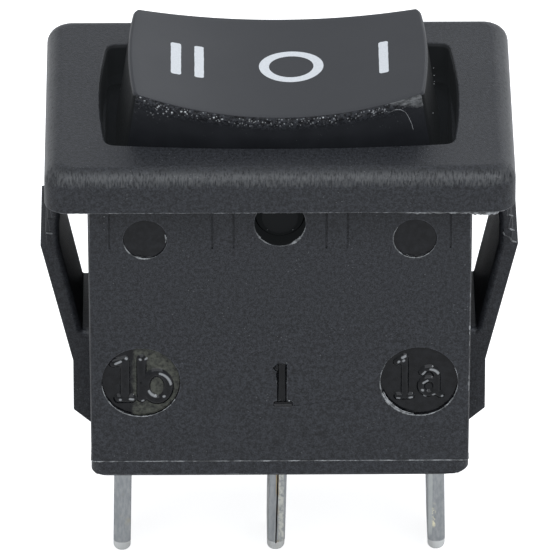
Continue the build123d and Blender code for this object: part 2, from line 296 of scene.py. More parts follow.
def tinnedMetal(name, slit=None, strip=None):
    # dull tin over brass: rolled along the blade, brass where it has worn, brighter tips;
    # heights are those of the part, whose blades end at -21.05
    tree = newFinish(name)
    height, across = tree.axis("Z"), tree.axis("X")
    rolled = tree.noise(3, 4, 0.62, stretch=(2.6, 1, 0.8))
    spots = tree.noise(4.2, 4, 0.65, shift=(0.01, 0, 0))
    stain = tree.noise(1.3, 3, 0.55)
    colour = tree.mix(tree.ramp(rolled, 0.3, 0.72), (0.26, 0.275, 0.285, 1), (0.35, 0.36, 0.365, 1))
    colour = tree.mix(tree.ramp(stain, 0.6, 0.76) * 0.4, colour, (0.42, 0.38, 0.26, 1))
    if slit is not None:
        # the cut edge of the brass shows along the fold
        brass = tree.ramp(abs(across - slit - 0.02), 0.09, 0.05)
        beside = tree.ramp(across - slit, 0.04, 0.08) * tree.ramp(across - slit, 0.34, 0.26)
        right = beside * tree.ramp(spots, 0.36, 0.6)
        colour = tree.mix(right * 0.75, colour, (0.66, 0.66, 0.59, 1))
        colour = tree.mix(brass * tree.ramp(stain, 0.4, 0.56) * 0.85, colour, (0.3, 0.23, 0.13, 1))
    if strip is not None:
        # one side keeps a brighter strip, with pale specks beside it
        bright = tree.ramp(abs(across - strip), 0.12, 0.06) * tree.ramp(height, -19.9, -19.3)
        specks = tree.ramp(abs(across - strip - 0.16), 0.12, 0.03) * tree.ramp(spots, 0.5, 0.6)
        colour = tree.mix(bright * 0.5, colour, (0.5, 0.52, 0.5, 1))
        reach = tree.ramp(height, -19.4, -19.1) * tree.ramp(height, -17.9, -18.3)
        colour = tree.mix(specks * reach, colour, (0.72, 0.68, 0.5, 1))
    colour = tree.mix(tree.ramp(height, -20.03, -20.14) * 0.8, colour, (0.66, 0.67, 0.66, 1))
    rough = 0.32 + (rolled - 0.5) * 0.2
    return shine(tree, colour, rough, tree.bump(rolled, 0.005, 0.6), metalShine)


def plainMetal(name, first, second, rough, stretch=(1, 1, 1)):
    tree = newFinish(name)
    rolled = tree.noise(5, 4, 0.6, stretch=stretch)
    colour = tree.mix(rolled, (*first, 1), (*second, 1))
    return shine(tree, colour, rough + (rolled - 0.5) * 0.15, tree.bump(rolled, 0.003, 0.5), metalShine)


def naturalNylon(name):
    tree = newFinish(name)
    cloud = tree.noise(2, 3, 0.5)
    colour = tree.mix(cloud, (0.66, 0.65, 0.59, 1), (0.78, 0.77, 0.72, 1))
    rough = 0.38 + (cloud - 0.5) * 0.1
    return shine(tree, colour, rough, tree.bump(cloud, 0.004, 0.4), {})


housingNylon = mouldedNylon("housingNylon", drawnStreaksAndHighlight=True)
# the edge rounds are painted lighter: partly rubbed wear, partly a painted highlight along the edges
rubbedEdgeAndHighlightNylon = mouldedNylon("rubbedEdgeAndHighlightNylon", 0.034, 0.34, 0.6, rub=0.6)
baseNylon = mouldedNylon("baseNylon", 0.0238, 0.44, 1.1)
flashAndGlintNylon = burrAndGlintNylon("flashAndGlintNylon")
leftPadNylon = glossyPad("leftPadNylon", olive=0.9)
padNylon = glossyPad("padNylon")
pinNylon = glossyPad("pinNylon", 0.008)
wellBlack = wellNylon("wellNylon")
paintedShadeBlack = paintedShadeNylon("paintedShadeNylon")
rockerSatin = satinTop("rockerSatin")
rockerGloss = glossySide("rockerGloss", 3.31, 0.02203)
whiteInk = printedInk("whiteInk")
tinned = {
    "left": tinnedMetal("tinnedLeft"),
    "common": tinnedMetal("tinnedCommon", slit=-0.1),
    "right": tinnedMetal("tinnedRight", strip=6.92),
}
print("finishes ready")


# mesh helpers

def weldedCopy(name, flatAt=None):
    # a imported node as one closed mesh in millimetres, with its flat faces joined up
    bm = bmesh.new()
    bm.from_mesh(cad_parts[name].data)
    bm.transform(Matrix.Scale(1 / mm, 4))
    bmesh.ops.remove_doubles(bm, verts=bm.verts, dist=1e-4)
    if flatAt:
        # the ribs run out here, so their last hundredths are closed up
        bmesh.ops.remove_doubles(bm, verts=[v for v in bm.verts if abs(v.co.z - flatAt) < 0.03], dist=0.02)
    bmesh.ops.dissolve_limit(bm, angle_limit=radians(0.3), verts=bm.verts, edges=bm.edges)
    return bm


def clamp(value):
    return min(max(value, 0), 1)


def fullTurn(count):
    return [2 * pi * n / count for n in range(count)]


def asObject(name, bm, *finishes):
    mesh = bpy.data.meshes.new(name)
    bm.to_mesh(mesh)
    bm.free()
    piece = bpy.data.objects.new(name, mesh)
    scene.collection.objects.link(piece)
    for finish in finishes:
        mesh.materials.append(finish)
    return piece


def closed(name, bm, *finishes):
    bmesh.ops.recalc_face_normals(bm, faces=bm.faces)
    return asObject(name, bm, *finishes)


def smooth(piece, angle=None):
    # smooth shading, broken at the edges that turn further than the angle
    piece.data.shade_smooth()
    if angle:
        piece.data.set_sharp_from_angle(angle=radians(angle))
    return piece


def bridge(bm, lower, upper, index=0):
    # faces between two loops of as many corners
    count = len(lower)
    for n in range(count):
        face = bm.faces.new((lower[n], lower[(n + 1) % count], upper[(n + 1) % count], upper[n]))
        face.material_index = index


def bake(piece):
    # modifiers, text or curve turned into a plain mesh on a new object
    bpy.context.view_layer.update()
    evaluated = piece.evaluated_get(bpy.context.evaluated_depsgraph_get())
    mesh = bpy.data.meshes.new_from_object(evaluated)
    name = piece.name
    bpy.data.objects.remove(piece)
    fresh = bpy.data.objects.new(name, mesh)
    mesh.name = name
    scene.collection.objects.link(fresh)
    fresh.name = name
    return fresh


def cut(piece, tool, operation="DIFFERENCE"):
    modifier = piece.modifiers.new("cut", "BOOLEAN")
    modifier.operation = operation
    modifier.solver = "EXACT"
    modifier.material_mode = "TRANSFER"
    modifier.object = tool
    result = bake(piece)
    bpy.data.objects.remove(tool)
    return result


def unfold(piece, edgeFinish):
    # where a round pushed a corner across a thin triangle, the flat faces at the fold are
    # made again; this lessens the folds, and some are left after the last pass
    bm = bmesh.new()
    bm.from_mesh(piece.data)
    for _ in range(4):
        folded = [face for face in bm.faces if face.material_index != edgeFinish and face.calc_area() > 1e-4
                  and any(other.normal.dot(face.normal) < -0.9999 and other.material_index != edgeFinish
                          for edge in face.edges for other in edge.link_faces)]
        print("unfolding", len(folded), "faces of", piece.name)
        if not folded:
            break
        fresh = bmesh.ops.dissolve_faces(bm, faces=folded)["region"]
        bmesh.ops.triangulate(bm, faces=fresh)
        bm.normal_update()
    bm.to_mesh(piece.data)
    bm.free()
    return piece


def straighten(piece):
    # broad flat areas get straight normals, so that no thin triangle bends the light on them
    broad = 8.0
    mesh = piece.data
    normals = [corner.vector.copy() for corner in mesh.corner_normals]
    bm = bmesh.new()
    bm.from_mesh(mesh)
    seen = set()
    for first in bm.faces:
        if first in seen:
            continue
        seen.add(first)
        area, group = 0, [first]
        for face in group:
            area += face.calc_area()
            for edge in face.edges:
                for other in edge.link_faces:
                    if other not in seen and other.normal.angle(first.normal, 9) < radians(0.15):
                        seen.add(other)
                        group.append(other)
        if area > broad:
            for face in group:
                for corner in mesh.polygons[face.index].loop_indices:
                    normals[corner] = first.normal.copy()
    bm.free()
    mesh.normals_split_custom_set(normals)
    return piece


def soften(piece, width, segments=2, edgeFinish=-1, share=None):
    # rounds on the edges, then smooth shading that keeps the broad faces flat;
    # share gives the part of the width that an edge takes, and edgeFinish the rounds' slot
    bm = bmesh.new()
    bm.from_mesh(piece.data)
    layer = bm.edges.layers.float.new("bevel_weight_edge")
    # broad faces with holes in them are split first, so that the rounds come out clean
    bmesh.ops.triangulate(bm, faces=[face for face in bm.faces if len(face.verts) > 24])
    for edge in bm.edges:
        if edge.calc_face_angle(0) > radians(28):
            edge[layer] = share(edge) if share else 1.0
    bm.to_mesh(piece.data)
    bm.free()
    bevel = piece.modifiers.new("rounds", "BEVEL")
    bevel.width = width
    bevel.segments = segments
    bevel.limit_method = "WEIGHT"
    bevel.use_clamp_overlap = False
    bevel.material = edgeFinish
    bevel.miter_outer = "MITER_ARC"
    result = smooth(unfold(bake(piece), edgeFinish), 35)
    weighted = result.modifiers.new("weighted", "WEIGHTED_NORMAL")
    weighted.keep_sharp = True
    weighted.weight = 80
    return straighten(bake(result))


def flashGroup():
    # a ragged thread along each path, with grains strung on it; both follow the girth attribute
    group = bpy.data.node_groups.new("flashGroup", "GeometryNodeTree")
    sockets = {"Geometry": "Geometry", "Step": "Float", "Wander": "Float", "Ragged": "Float",
               "Grain": "Float", "Often": "Float", "Seed": "Int", "Finish": "Material"}
    for name, kind in sockets.items():
        group.interface.new_socket(name, in_out="INPUT", socket_type="NodeSocket" + kind)
    group.interface.new_socket("Geometry", in_out="OUTPUT", socket_type="NodeSocketGeometry")
    tree = Tree(group)
    given = tree.add("NodeGroupInput").socket.node
    take = {name: Wire(tree, given.outputs[name]) for name in sockets}
    curve = tree.add("GeometryNodeMeshToCurve", None, {"Mesh": take["Geometry"]})
    curve = tree.add("GeometryNodeResampleCurve", {"mode": "LENGTH"}, {"Curve": curve, "Length": take["Step"]})
    jitter = tree.add("FunctionNodeRandomValue", {"data_type": "FLOAT_VECTOR"}, {
        "Min": (-1, -1, -1), "Max": (1, 1, 1), "Seed": take["Seed"]})
    offset = tree.add("ShaderNodeVectorMath", {"operation": "SCALE"}, {0: jitter, "Scale": take["Wander"]})
    curve = tree.add("GeometryNodeSetPosition", None, {"Geometry": curve, "Offset": offset})
    girth = tree.add("GeometryNodeInputNamedAttribute", {"data_type": "FLOAT"}, {"Name": "girth"})
    uneven = tree.add("ShaderNodeTexNoise", {"noise_dimensions": "3D"}, {"Scale": 4.0, "Detail": 3.0})
    swell = 1 + (uneven - 0.5) * take["Ragged"] * 4
    swell = tree.add("ShaderNodeClamp", None, {"Value": swell, "Min": 0.15, "Max": 3.0})
    section = tree.add("GeometryNodeCurvePrimitiveCircle", {"mode": "RADIUS"}, {"Resolution": 6, "Radius": 1.0})
    thread = tree.add("GeometryNodeCurveToMesh", None, {
        "Curve": curve, "Profile Curve": section, "Scale": girth * swell, "Fill Caps": True})
    points = tree.add("GeometryNodeCurveToPoints", {"mode": "EVALUATED"}, {"Curve": curve})

    def random(low, high, shift):
        return tree.add("FunctionNodeRandomValue", {"data_type": "FLOAT"}, {
            2: low, 3: high, "Seed": take["Seed"] + shift}, out=1)

    chance = random(0.0, 1.0, 7)
    size = random(0.5, 1.6, 11)
    grain = tree.add("GeometryNodeMeshIcoSphere", None, {"Radius": 1.0, "Subdivisions": 2})
    beads = tree.add("GeometryNodeInstanceOnPoints", None, {
        "Points": points, "Selection": chance < take["Often"], "Instance": grain,
        "Scale": girth * size * take["Grain"]})
    beads = tree.add("GeometryNodeRealizeInstances", None, {"Geometry": beads})
    both = tree.add("GeometryNodeJoinGeometry").socket.node
    tree.links.new(thread.socket, both.inputs[0])
    tree.links.new(beads.socket, both.inputs[0])
    done = tree.add("GeometryNodeSetMaterial", None, {
        "Geometry": Wire(tree, both.outputs[0]), "Material": take["Finish"]})
    tree.add("NodeGroupOutput", None, {0: done})
    return group


flashNodes = flashGroup()


def threads(name, paths, finish, step=0.05, wander=0.006, ragged=0.8, grain=1.6, often=0.25, seed=1):
    # paths are lists of (x, y, z, girth)
    bm = bmesh.new()
    layer = bm.verts.layers.float.new("girth")
    for path in paths:
        last = None
        for x, y, z, girth in path:
            vert = bm.verts.new((x, y, z))
            vert[layer] = girth
            if last:
                bm.edges.new((last, vert))
            last = vert
    piece = asObject(name, bm)
    modifier = piece.modifiers.new("flashAndGlints", "NODES")
    modifier.node_group = flashNodes
    values = {"Step": step, "Wander": wander, "Ragged": ragged, "Grain": grain, "Often": often,
              "Seed": seed, "Finish": finish}
    for socket in flashNodes.interface.items_tree:
        if socket.in_out == "INPUT" and socket.name in values:
            modifier[socket.identifier] = values[socket.name]
    return smooth(bake(piece))


def toMetres(piece):
    piece.data.transform(Matrix.Scale(mm, 4))
    return piece


def finishPiece(piece, body, slot, *nodes):
    # last step of every piece: scale it, hang it on its body, hide the imported nodes it takes the place of
    toMetres(piece)
    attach(piece, body)
    if nodes:
        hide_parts(*nodes)
    print("made", piece.name, len(piece.data.polygons), "faces")


# housing

housing = {
    "edge": 0.045,              # round on the moulded edges
    "wingEdge": 0.3,            # and on the inner edges of the wings
    "wing": {"halfWidth": 2.8, "knee": -4.18, "inner": 9.97, "slope": 0.218},
    "bezel": (10.5, 7.5),       # half sizes
    "corner": 1.05,             # of the bezel, seen from above
    "builtCorner": 1.4,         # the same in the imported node
    "side": 8.6,                # end wall at the bezel
    "seam": -13.46,
    "groove": 0.08,             # beside the ribs: width, reach in Y, run in Z, and places
    "grooveReach": (6.28, 6.6),
    "grooveRun": (-2.45, -0.06),
    "grooves": [(-7.66, 1), (-2.99, -1), (-2.11, 1), (2.11, -1), (2.99, 1), (7.66, -1)],
    "ribEnd": -2.6,
    "frontFace": -6.35,         # at the bezel; the draft brings it in below
    "draft": 0.3,
    "padPlace": (6.26, -9.35),
    "padRadius": 1.75,
    "padDepth": 0.2,
    "markPlace": (6.03, -1.97),
    # half sizes of the zones that get their own finish: on the front wall, then seen from above
    "zones": {"pad": (1.85, 1.85), "mark": (1, 1), "figure": (0.8, 1.4), "well": (8.2, 5.45), "hub": (1.2, 6.3)},
    "hubRun": (-2.4, 0.05),
    "wingFrom": 8.75,
    "lipTop": 1.97,
    "innerWall": 5.6,
}


# the housing's material slots
bodySlot, paintedShadeSlot, edgeSlot, padSlot, lipSlot, pinSlot = range(6)


def frontAt(z):
    return housing["frontFace"] - z * tan(radians(housing["draft"]))


def sideAt(z):
    return housing["side"] + z * tan(radians(housing["draft"]))


def ellipse(x, z, across, up, start=0, end=360, steps=40):
    return [(x + across * cos(radians(start + (end - start) * n / steps)),
             z + up * sin(radians(start + (end - start) * n / steps))) for n in range(steps + 1)]


# the pale spots listed on each pad's figures are painted glints
figures = {
    "sunk": {"x": 0.06, "z": -9.4, "thick": 0.42, "depth": 0.16, "paths": [
        [(0.02, 0.98), (0.02, -1.0)]], "thin": [[(-0.3, 0.68), (-0.02, 0.92)], [(-0.34, -1.1), (0.5, -1.1)]]},
    "left": {"side": -1, "thick": 0.46, "proud": 0.15, "paths": [
        [(-1.22, 0.95), (-0.72, 1.1), (-0.72, -0.84)], [(-1.0, -0.87), (-0.42, -0.87)],
        [(0.03, 1.17), (0.03, -0.86)], ellipse(0.72, -0.24, 0.53, 0.7)],
        "wearAndGlint": [[(-0.67, 1.24), (-0.63, 1.22)], [(-1.14, 0.98), (-0.9, 1.1)], [(-0.04, 1.2), (-0.01, 1.2)],
                 [(0.22, 1.19), (0.26, 1.2)], ellipse(0.72, -0.24, 0.64, 0.72, 78, 12, 10),
                 ellipse(0.72, -0.24, 0.4, 0.5, 205, 262, 8), [(-0.95, -0.88), (-0.92, -0.88)],
                 [(-0.5, -0.84), (-0.36, -0.86)], [(0.06, -0.94), (0.1, -0.93)], [(1.02, -0.72), (1.06, -0.7)]]},
    "right": {"side": 1, "thick": 0.36, "proud": 0.14, "paths": [
        [(-1.0, 0.96), (-0.64, 1.22), (-0.64, -0.8)], [(-0.95, -0.8), (-0.35, -0.8)],
        ellipse(0.45, 0.22, 0.35, 0.4, 150, 0, 16) + [(0.8, -0.6), (0.97, -0.74)],
        ellipse(0.44, -0.3, 0.35, 0.37)],
        "wearAndGlint": [[(-0.93, 1.0), (-0.9, 1.04)], [(-0.76, 1.22), (-0.62, 1.3)], [(-0.72, 1.05), (-0.68, 1.1)],
                 ellipse(0.5, 0.2, 0.42, 0.42, 88, 30, 8), [(0.16, 0.36), (0.28, 0.5)], [(0.2, -0.08), (0.38, 0.04)],
                 [(0.64, -0.7), (0.7, -0.68)], [(0.14, -0.44), (0.18, -0.46)], [(0.24, -0.76), (0.3, -0.8)],
                 [(-0.98, -0.87), (-0.88, -0.87)], [(-0.42, -0.84), (-0.32, -0.82)], [(1.04, -0.76), (1.06, -0.78)]]},
}


def strokeTool(path, thick, depth, centre, finish):
    # round-nosed cutter run along a path in X and Z on the front wall
    curve = bpy.data.curves.new("strokeTool", "CURVE")
    curve.dimensions = "3D"
    curve.bevel_depth = thick / 2
    curve.bevel_resolution = 5
    curve.use_fill_caps = True
    spline = curve.splines.new("POLY")
    spline.points.add(len(path) - 1)
    for point, (x, z) in zip(spline.points, path):
        point.co = (x, z, 0, 1)
    piece = bpy.data.objects.new("strokeTool", curve)
    scene.collection.objects.link(piece)
    piece = bake(piece)
    piece.data.transform(Matrix.Diagonal((1, 1, depth / (thick / 2), 1)))
    piece.data.transform(Matrix.Rotation(radians(90), 4, "X"))
    piece.data.transform(Matrix.Translation(centre))
    bm = bmesh.new()
    bm.from_mesh(piece.data)
    bmesh.ops.remove_doubles(bm, verts=bm.verts, dist=1e-4)
    bmesh.ops.recalc_face_normals(bm, faces=bm.faces)
    bm.to_mesh(piece.data)
    bm.free()
    piece.data.materials.append(finish)
    return piece


def box(low, high, finish):
    bm = bmesh.new()
    bmesh.ops.create_cube(bm, size=1)
    bm.transform(Matrix.LocRotScale((Vector(low) + Vector(high)) / 2, None, Vector(high) - Vector(low)))
    return asObject("boxTool", bm, finish)


def solidAlong(outline, low, high, name, finish):
    # closed prism of an outline in X and Z, between two values of Y
    bm = bmesh.new()
    front = [bm.verts.new((x, low, z)) for x, z in outline]
    back = [bm.verts.new((x, high, z)) for x, z in outline]
    bridge(bm, front, back)
    bm.faces.new(list(reversed(front)))
    bm.faces.new(back)
    return closed(name, bm, finish)


def edgeShare(edge):
    # how far each of the housing's edges is rounded, as a share of the widest round
    ends = [vert.co for vert in edge.verts]
    middle = (ends[0] + ends[1]) / 2
    if max(abs(end.z - housing["ribEnd"]) for end in ends) < 0.04:
        return 0.0
    if abs(middle.y) > 6.2 and any(abs(middle.x - x - side * housing["groove"] / 2) < housing["groove"] * 0.7
                                   for x, side in housing["grooves"]) and -2.5 < middle.z < -0.1:
        return 0.0
    wing = housing["wing"]
    if abs(abs(middle.y) - wing["halfWidth"]) < 0.05 and -9 < middle.z < -0.2:
        inner = wing["inner"] - max(wing["knee"] - middle.z, 0) * wing["slope"]
        if 8.7 < abs(middle.x) < inner:
            return 1.0
    return housing["edge"] / housing["wingEdge"]


def squareCorners(bm):
    # the bezel's corners are drawn out to a smaller radius than they are built with
    halfX, halfY = housing["bezel"]
    built = housing["builtCorner"]
    shift = built - housing["corner"]
    for vert in bm.verts:
        x, y = abs(vert.co.x) - (halfX - built), abs(vert.co.y) - (halfY - built)
        if vert.co.z < -0.01 or x <= 0 or y <= 0:
            continue
        u, v = x / hypot(x, y), y / hypot(x, y)
        if min(u, v) * built <= max(u, v) * shift:
            reach = built / max(u, v)
        else:
            reach = shift * (u + v) + sqrt((shift * (u + v)) ** 2 - 2 * shift ** 2 + housing["corner"] ** 2)
        vert.co.x = copysign(halfX - built + x * reach / built, vert.co.x)
        vert.co.y = copysign(halfY - built + y * reach / built, vert.co.y)
    return bm


def makeHousing():
    shell = asObject("housingShell", squareCorners(weldedCopy("housing", housing["ribEnd"])),
                     housingNylon, paintedShadeBlack, rubbedEdgeAndHighlightNylon, padNylon, wellBlack, pinNylon)
    figure = figures["sunk"]
    place = (figure["x"], frontAt(figure["z"]), figure["z"])
    for strokes, wide, deep in (("paths", 1, 1), ("thin", 0.62, 0.8)):
        for path in figure[strokes]:
            tool = strokeTool(path, figure["thick"] * wide, figure["depth"] * deep, place, padNylon)
            shell = cut(shell, tool)
    # grooves beside the ribs
    bottom, top = housing["grooveRun"]
    for x, side in housing["grooves"]:
        for face in (-1, 1):
            near, far = sorted((x, x + side * housing["groove"]))
            low, high = sorted(face * y for y in housing["grooveReach"])
            shell = cut(shell, box((near, low, bottom), (far, high, top), housingNylon))
    shell = soften(shell, housing["wingEdge"], segments=3, edgeFinish=edgeSlot, share=edgeShare)

    def within(zone, across, up):
        return across < housing["zones"][zone][0] and up < housing["zones"][zone][1]

    (padX, padZ), (markX, markZ) = housing["padPlace"], housing["markPlace"]
    for face in shell.data.polygons:
        at = face.center
        across, along = abs(at.x), abs(at.y)
        pad = within("pad", abs(across - padX), abs(at.z - padZ))
        mark = within("mark", abs(across - markX), abs(at.z - markZ))
        digit = within("figure", abs(at.x - figure["x"]), abs(at.z - figure["z"]))
        inset = housing["innerWall"] < along < -frontAt(at.z) - 0.012
        if across > housing["wingFrom"] and at.z < -0.3:
            face.material_index = bodySlot
        elif inset and mark:
            face.material_index = pinSlot
        elif inset and (pad or digit):
            face.material_index = padSlot
        # the pivot hole gets the painted shade
        elif within("hub", across, along) and housing["hubRun"][0] < at.z < housing["hubRun"][1]:
            face.material_index = paintedShadeSlot
        # the well's walls below the lip get the finish with painted light and shade
        elif within("well", across, along) and at.z < 2.1:
            face.material_index = lipSlot if at.z < housing["lipTop"] else bodySlot
    return shell


finishPiece(makeHousing(), "case", "housing_plastic", "housing")


base = {
    "edge": 0.04,
    "bottom": -14.3,
    "below": -14.6,             # clear of the bottom
    "halfWidth": 7,             # and past the sides
    "rises": [(7.3, 8.75, -13.98), (-7.7, -8.75, -14.08)],      # from, to, height at the end
}


def makeBase():
    shell = asObject("baseShell", weldedCopy("base"), baseNylon, rubbedEdgeAndHighlightNylon)
    # the bottom rises a little towards the ends
    for near, far, rise in base["rises"]:
        wedge = [(near, base["bottom"]), (far, rise), (far, base["below"]), (near, base["below"])]
        shell = cut(shell, solidAlong(wedge, -base["halfWidth"], base["halfWidth"], "wedge", baseNylon))
    return soften(shell, base["edge"], edgeFinish=1)


finishPiece(makeBase(), "case", "base_plastic", "base")


def strokeDistance(paths, x, z):
    best = 9.0
    for path in paths:
        for (ax, az), (bx, bz) in zip(path, path[1:]):
            dx, dz = bx - ax, bz - az
            t = clamp(((x - ax) * dx + (z - az) * dz) / (dx * dx + dz * dz))
            best = min(best, (x - ax - t * dx) ** 2 + (z - az - t * dz) ** 2)
    return sqrt(best)


numberPad = {
    "rings": 56, "spokes": 216, "gap": 0.012,
    "sink": 0.02, "back": 0.03,         # of its face and its rear, from the floor of the recess
    "foot": 1.12,                       # where a ridge runs out, in half widths
    "uneven": 0.015, "glintReach": 0.085,
}


def makePad(side):
    # bottom of a number pad, with its figures raised as soft ridges
    spec = figures[side]
    middleX, middleZ = spec["side"] * housing["padPlace"][0], housing["padPlace"][1]
    floor = housing["frontFace"] + housing["padDepth"]
    face, rear = floor - numberPad["sink"], floor + numberPad["back"]
    radius = housing["padRadius"] - numberPad["gap"]
    rings, spokes = numberPad["rings"], numberPad["spokes"]
    bm = bmesh.new()
    layer = bm.verts.layers.float.new("ridge")
    glintLayer = bm.verts.layers.float.new("wearAndGlint")
    loops = []
    for k in range(1, rings + 1):
        loop = []
        for a in fullTurn(spokes):
            x, z = radius * k / rings * cos(a), radius * k / rings * sin(a)
            away = strokeDistance(spec["paths"], x, z) / (spec["thick"] / 2)
            ridge = 1 - min(away / numberPad["foot"], 1) ** 2
            dip = numberPad["uneven"] * noise.noise((x * 1.3, z * 1.3, spec["side"]))
            vert = bm.verts.new((middleX + x, face - ridge * spec["proud"] + dip, middleZ + z))
            vert[layer] = ridge
            vert[glintLayer] = max(0, 1 - strokeDistance(spec["wearAndGlint"], x, z) / numberPad["glintReach"])
            loop.append(vert)
        loops.append(loop)
    for lower, upper in zip(loops, loops[1:]):
        bridge(bm, lower, upper)
    hub = bm.verts.new((middleX, face, middleZ))
    back = [bm.verts.new((v.co.x, rear, v.co.z)) for v in loops[-1]]
    bridge(bm, loops[-1], back)
    end = bm.verts.new((middleX, rear, middleZ))
    for n in range(spokes):
        bm.faces.new((hub, loops[0][n], loops[0][(n + 1) % spokes]))
        bm.faces.new((end, back[(n + 1) % spokes], back[n]))
    return smooth(closed(side + "NumberPad", bm, leftPadNylon if side == "left" else padNylon), 60)


for side in ("left", "right"):
    finishPiece(makePad(side), "case", "housing_plastic")


# flash and burrs that the moulds left on the outer edges, and pale grains and strokes painted as glints and
# highlights

flashAndGlints = {
    # the bezel's rim: path and girth, and where it gets ragged and sags
    "bezel": (10.48, 7.48), "bezelGirth": 0.014, "bezelRagged": 0.068, "ragFrom": 5.2,
    "sag": 0.09, "sagAt": 9.2, "sagSpan": 1.1,
    "seamGirth": 0.018, "seamCorner": 0.15,
    # round the holes and marks: place, radius, first and last angle, girths along the arc; these pale threads on the
    # lower rims are partly burrs and partly a painted highlight
    "rims": [
        ((0, -1.17), 1.15, (190, 352), (0.008, 0.035, 0.03, 0.01, 0.008, 0.02, 0.045, 0.03, 0.008)),
        ((-6.03, -1.97), 0.975, (195, 300), (0.01, 0.03, 0.035, 0.028, 0.02)),
        ((-6.03, -1.97), 0.93, (-8, 16), (0.02, 0.05, 0.02)),
        ((6.03, -1.97), 0.975, (140, 340), (0.012, 0.015, 0.03, 0.035, 0.02, 0.015, 0.012)),
        ((-6.26, -9.35), 1.76, (185, 330), (0.01, 0.022, 0.026, 0.02, 0.012, 0.014)),
        ((6.26, -9.35), 1.76, (150, 385), (0.01, 0.018, 0.045, 0.055, 0.025, 0.02, 0.03, 0.015, 0.01)),
        ((6.26, -9.35), 1.68, (198, 262), (0.01, 0.03, 0.035, 0.02, 0.008)),
    ],
    # pale strokes on the wings' barbs are painted highlights
    "ticks": [[(10.34, -2.72), (10.52, -2.8)], [(10.4, -3.46), (10.6, -3.54)], [(10.5, -4.08), (10.7, -4.15)],
              [(10.08, -3.62), (10.16, -3.78), (10.32, -3.84), (10.42, -3.97), (10.5, -4.08)],
              [(-10.5, -3.56), (-10.2, -3.6)]],
    # pale dots: grains on the left rib, and two painted glints on the sunk figure
    "dots": [(-7.86, -0.35), (-7.84, -0.72), (-7.86, -1.05), (-7.84, -1.4), (0.3, -8.36), (0.42, -10.32)],
    "edgeSpots": [(-4.9, 0.02), (-5.6, 0.012), (-6.3, 0.03), (-6.6, 0.045), (-6.9, 0.02), (-7.4, 0.03),
                  (-8.3, 0.012), (-9.2, 0.05), (-9.5, 0.06), (-9.75, 0.02), (-11.5, 0.01), (-13.3, 0.01)],
}


def roundedCorners(halfX, halfY, corner, steps=8):
    # rectangle with round corners, anticlockwise from its front right corner
    points = []
    for cx, cy, start in ((1, -1, -90), (1, 1, 0), (-1, 1, 90), (-1, -1, 180)):
        for n in range(steps + 1):
            a = radians(start + 90 * n / steps)
            points.append((cx * (halfX - corner) + corner * cos(a), cy * (halfY - corner) + corner * sin(a)))
    return points


def roundedLoop(halfX, halfY, corner, steps=8):
    # the same, closed, from the middle of the front
    return [(0, -halfY), *roundedCorners(halfX, halfY, corner, steps), (0, -halfY)]


def subdivided(points, step):
    fine = [points[0]]
    for before, after in zip(points, points[1:]):
        count = max(1, round((Vector(after) - Vector(before)).length / step))
        fine += [tuple(Vector(before).lerp(Vector(after), n / count)) for n in range(1, count + 1)]
    return fine


def rimArc(place, radius, start, end, girths):
    # arc round a mark in the front wall; the girths are spread evenly along it
    steps = 28 if end - start > 30 else 6
    arc = []
    for n in range(steps + 1):
        share = n / steps * (len(girths) - 1)
        low = min(int(share), len(girths) - 2)
        girth = girths[low] + (girths[low + 1] - girths[low]) * (share - low)
        a = radians(start + (end - start) * n / steps)
        z = place[1] + radius * sin(a)
        arc.append((place[0] + radius * cos(a), frontAt(z), z, girth))
    return arc


def makeFlashAndGlints():
    spec = flashAndGlints
    paths = []
    bezel = []
    for x, y in subdivided(roundedLoop(*spec["bezel"], housing["corner"]), 0.15):
        ragged = clamp((x - spec["ragFrom"]) * 2) if y < 0 else 0
        girth = spec["bezelGirth"] + (spec["bezelRagged"] - spec["bezelGirth"]) * ragged
        sag = spec["sag"] * ragged * clamp(1 - abs(x - spec["sagAt"]) / spec["sagSpan"])
        inset = girth * (1 + ragged * 0.7) / housing["bezel"][1]
        bezel.append((x * (1 - inset), y * (1 - inset), 0.004 - sag - ragged * 0.03, girth))
    paths.append(bezel)
    seam = housing["seam"]
    outline = roundedLoop(sideAt(seam), -frontAt(seam), spec["seamCorner"], 3)
    paths.append([(x, y, seam, spec["seamGirth"]) for x, y in subdivided(outline, 0.2)])
    for place, radius, (start, end), girths in spec["rims"]:
        paths.append(rimArc(place, radius, start, end, girths))
    for z, girth in spec["edgeSpots"]:
        x, y = sideAt(z) - 0.05, frontAt(z) + 0.05
        paths.append([(x, y, z + 0.12, girth * 0.4), (x, y, z, girth), (x, y, z - 0.12, girth * 0.4)])
    for x, z in spec["dots"]:
        stand = 0.085 if x < -7 else 0.005
        paths.append([(x - 0.03, frontAt(z) - stand, z, 0.026), (x + 0.03, frontAt(z) - stand, z, 0.02)])
    for tick in spec["ticks"]:
        paths.append([(x, -housing["wing"]["halfWidth"], z, 0.032) for x, z in tick])
    return threads("mouldFlashAndGlints", paths, flashAndGlintNylon, step=0.06, wander=0.006, ragged=0.9,
                   grain=1.2, often=0.14, seed=5)


finishPiece(makeFlashAndGlints(), "case", "housing_plastic")


# rocker

